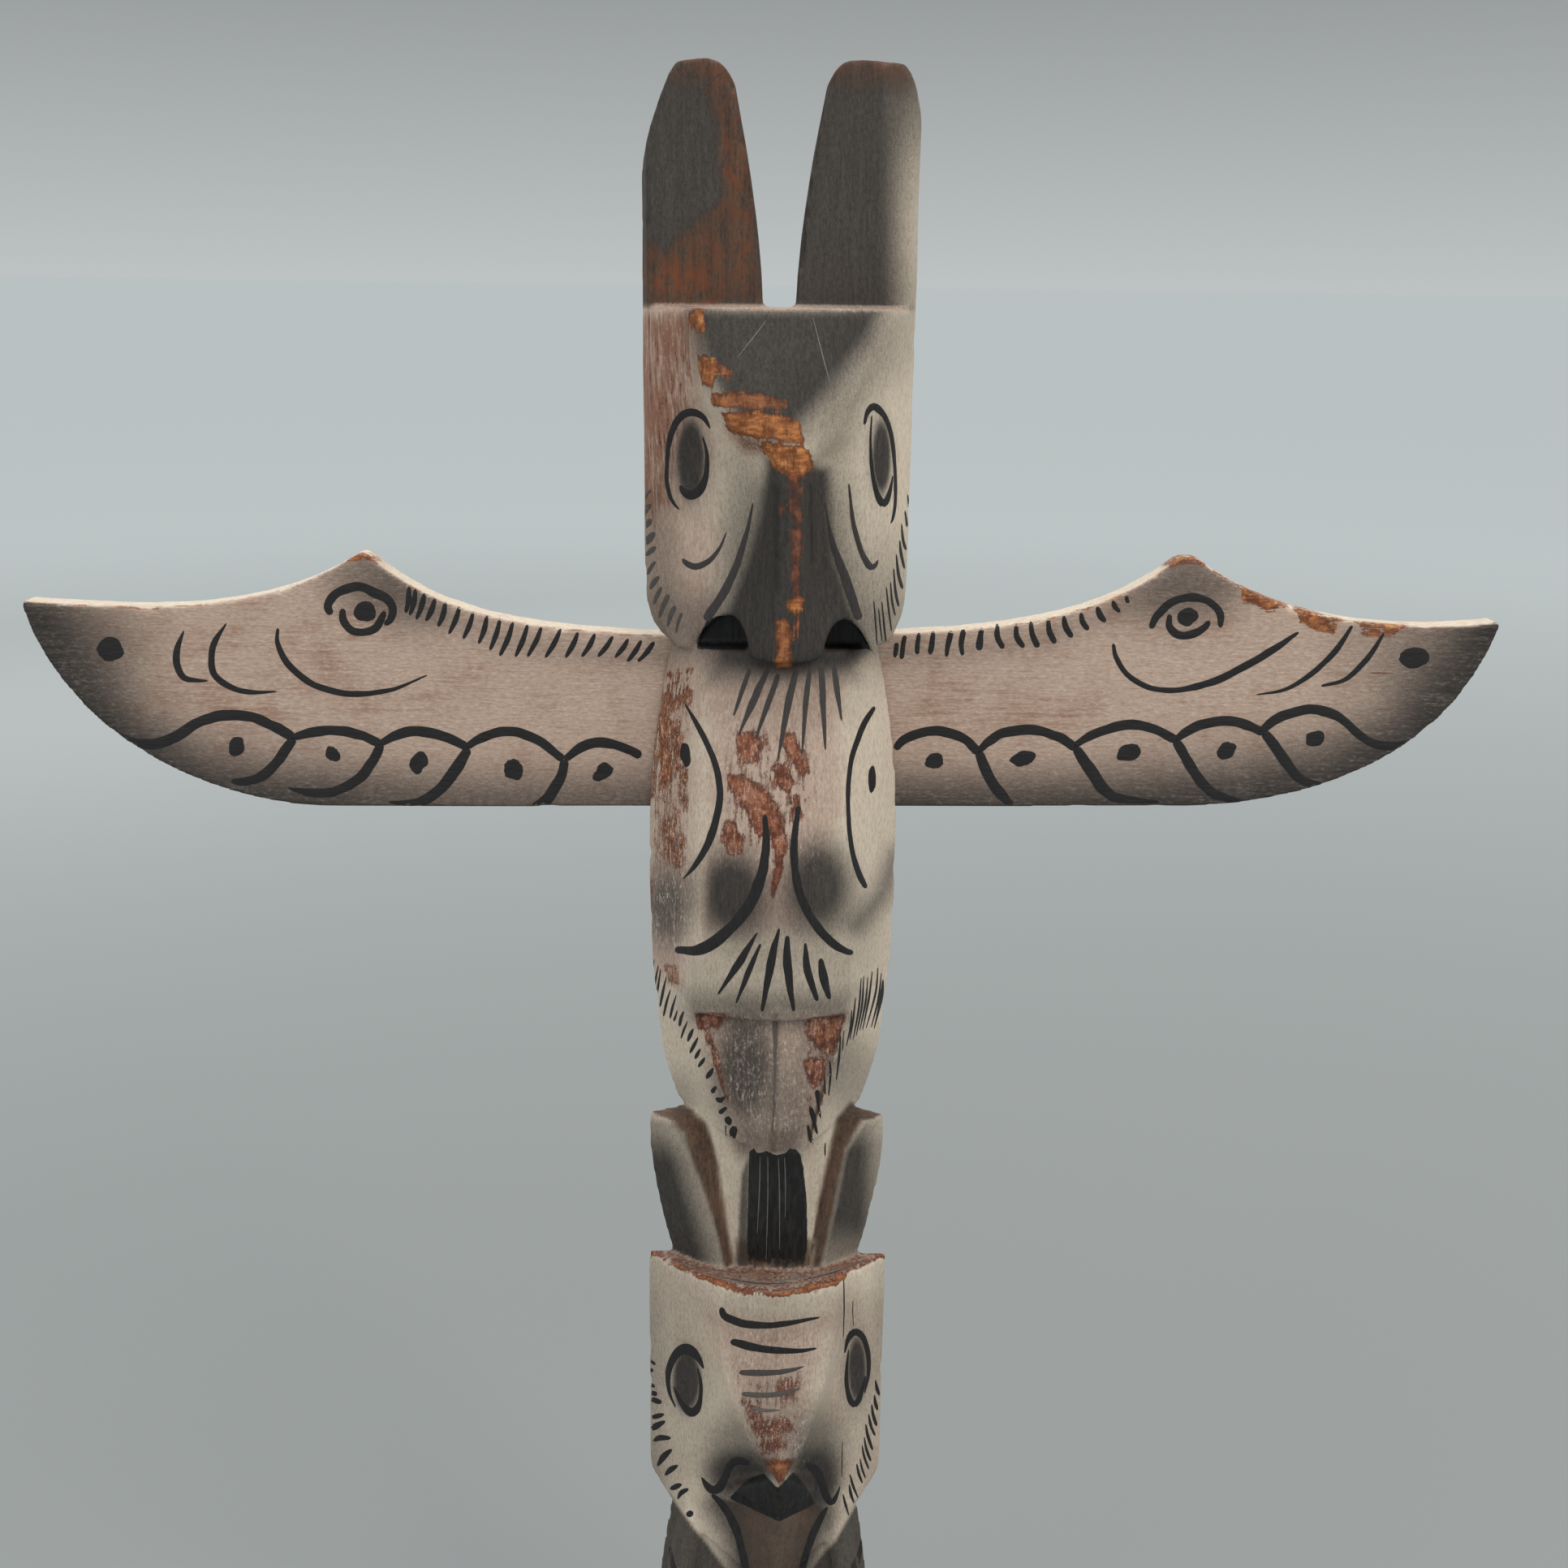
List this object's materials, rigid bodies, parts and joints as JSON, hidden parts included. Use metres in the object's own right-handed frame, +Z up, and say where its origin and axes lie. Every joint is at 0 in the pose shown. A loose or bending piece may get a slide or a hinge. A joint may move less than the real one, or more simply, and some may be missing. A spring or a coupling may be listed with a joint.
{
  "type": "model totem pole",
  "caption": "Carved and painted wooden model totem pole: a horned bird with spread wings above a long-eared animal, on a low base, made as a standing ornament.",
  "frame": {"origin": "middle of the flat underside of the base, on the surface it stands on", "axes": "+Z up along the pole to the horn tips, front of the figures towards -Y, +X to the right as the viewer sees it from the front"},
  "size_m": [0.2831, 0.046, 0.3808],
  "materials": {
    "painted_cedar": "matt cream-grey paint with sprayed charcoal shading and black brush lines, worn through to red-brown cedar",
    "painted_board": "thin matt taupe wash over straight grain, sprayed charcoal edges and black brush lines, worn along the edges"
  },
  "bodies": {
    "root": {"pole": "painted_cedar", "wing_board": "painted_board"}
  },
  "joints": []
}
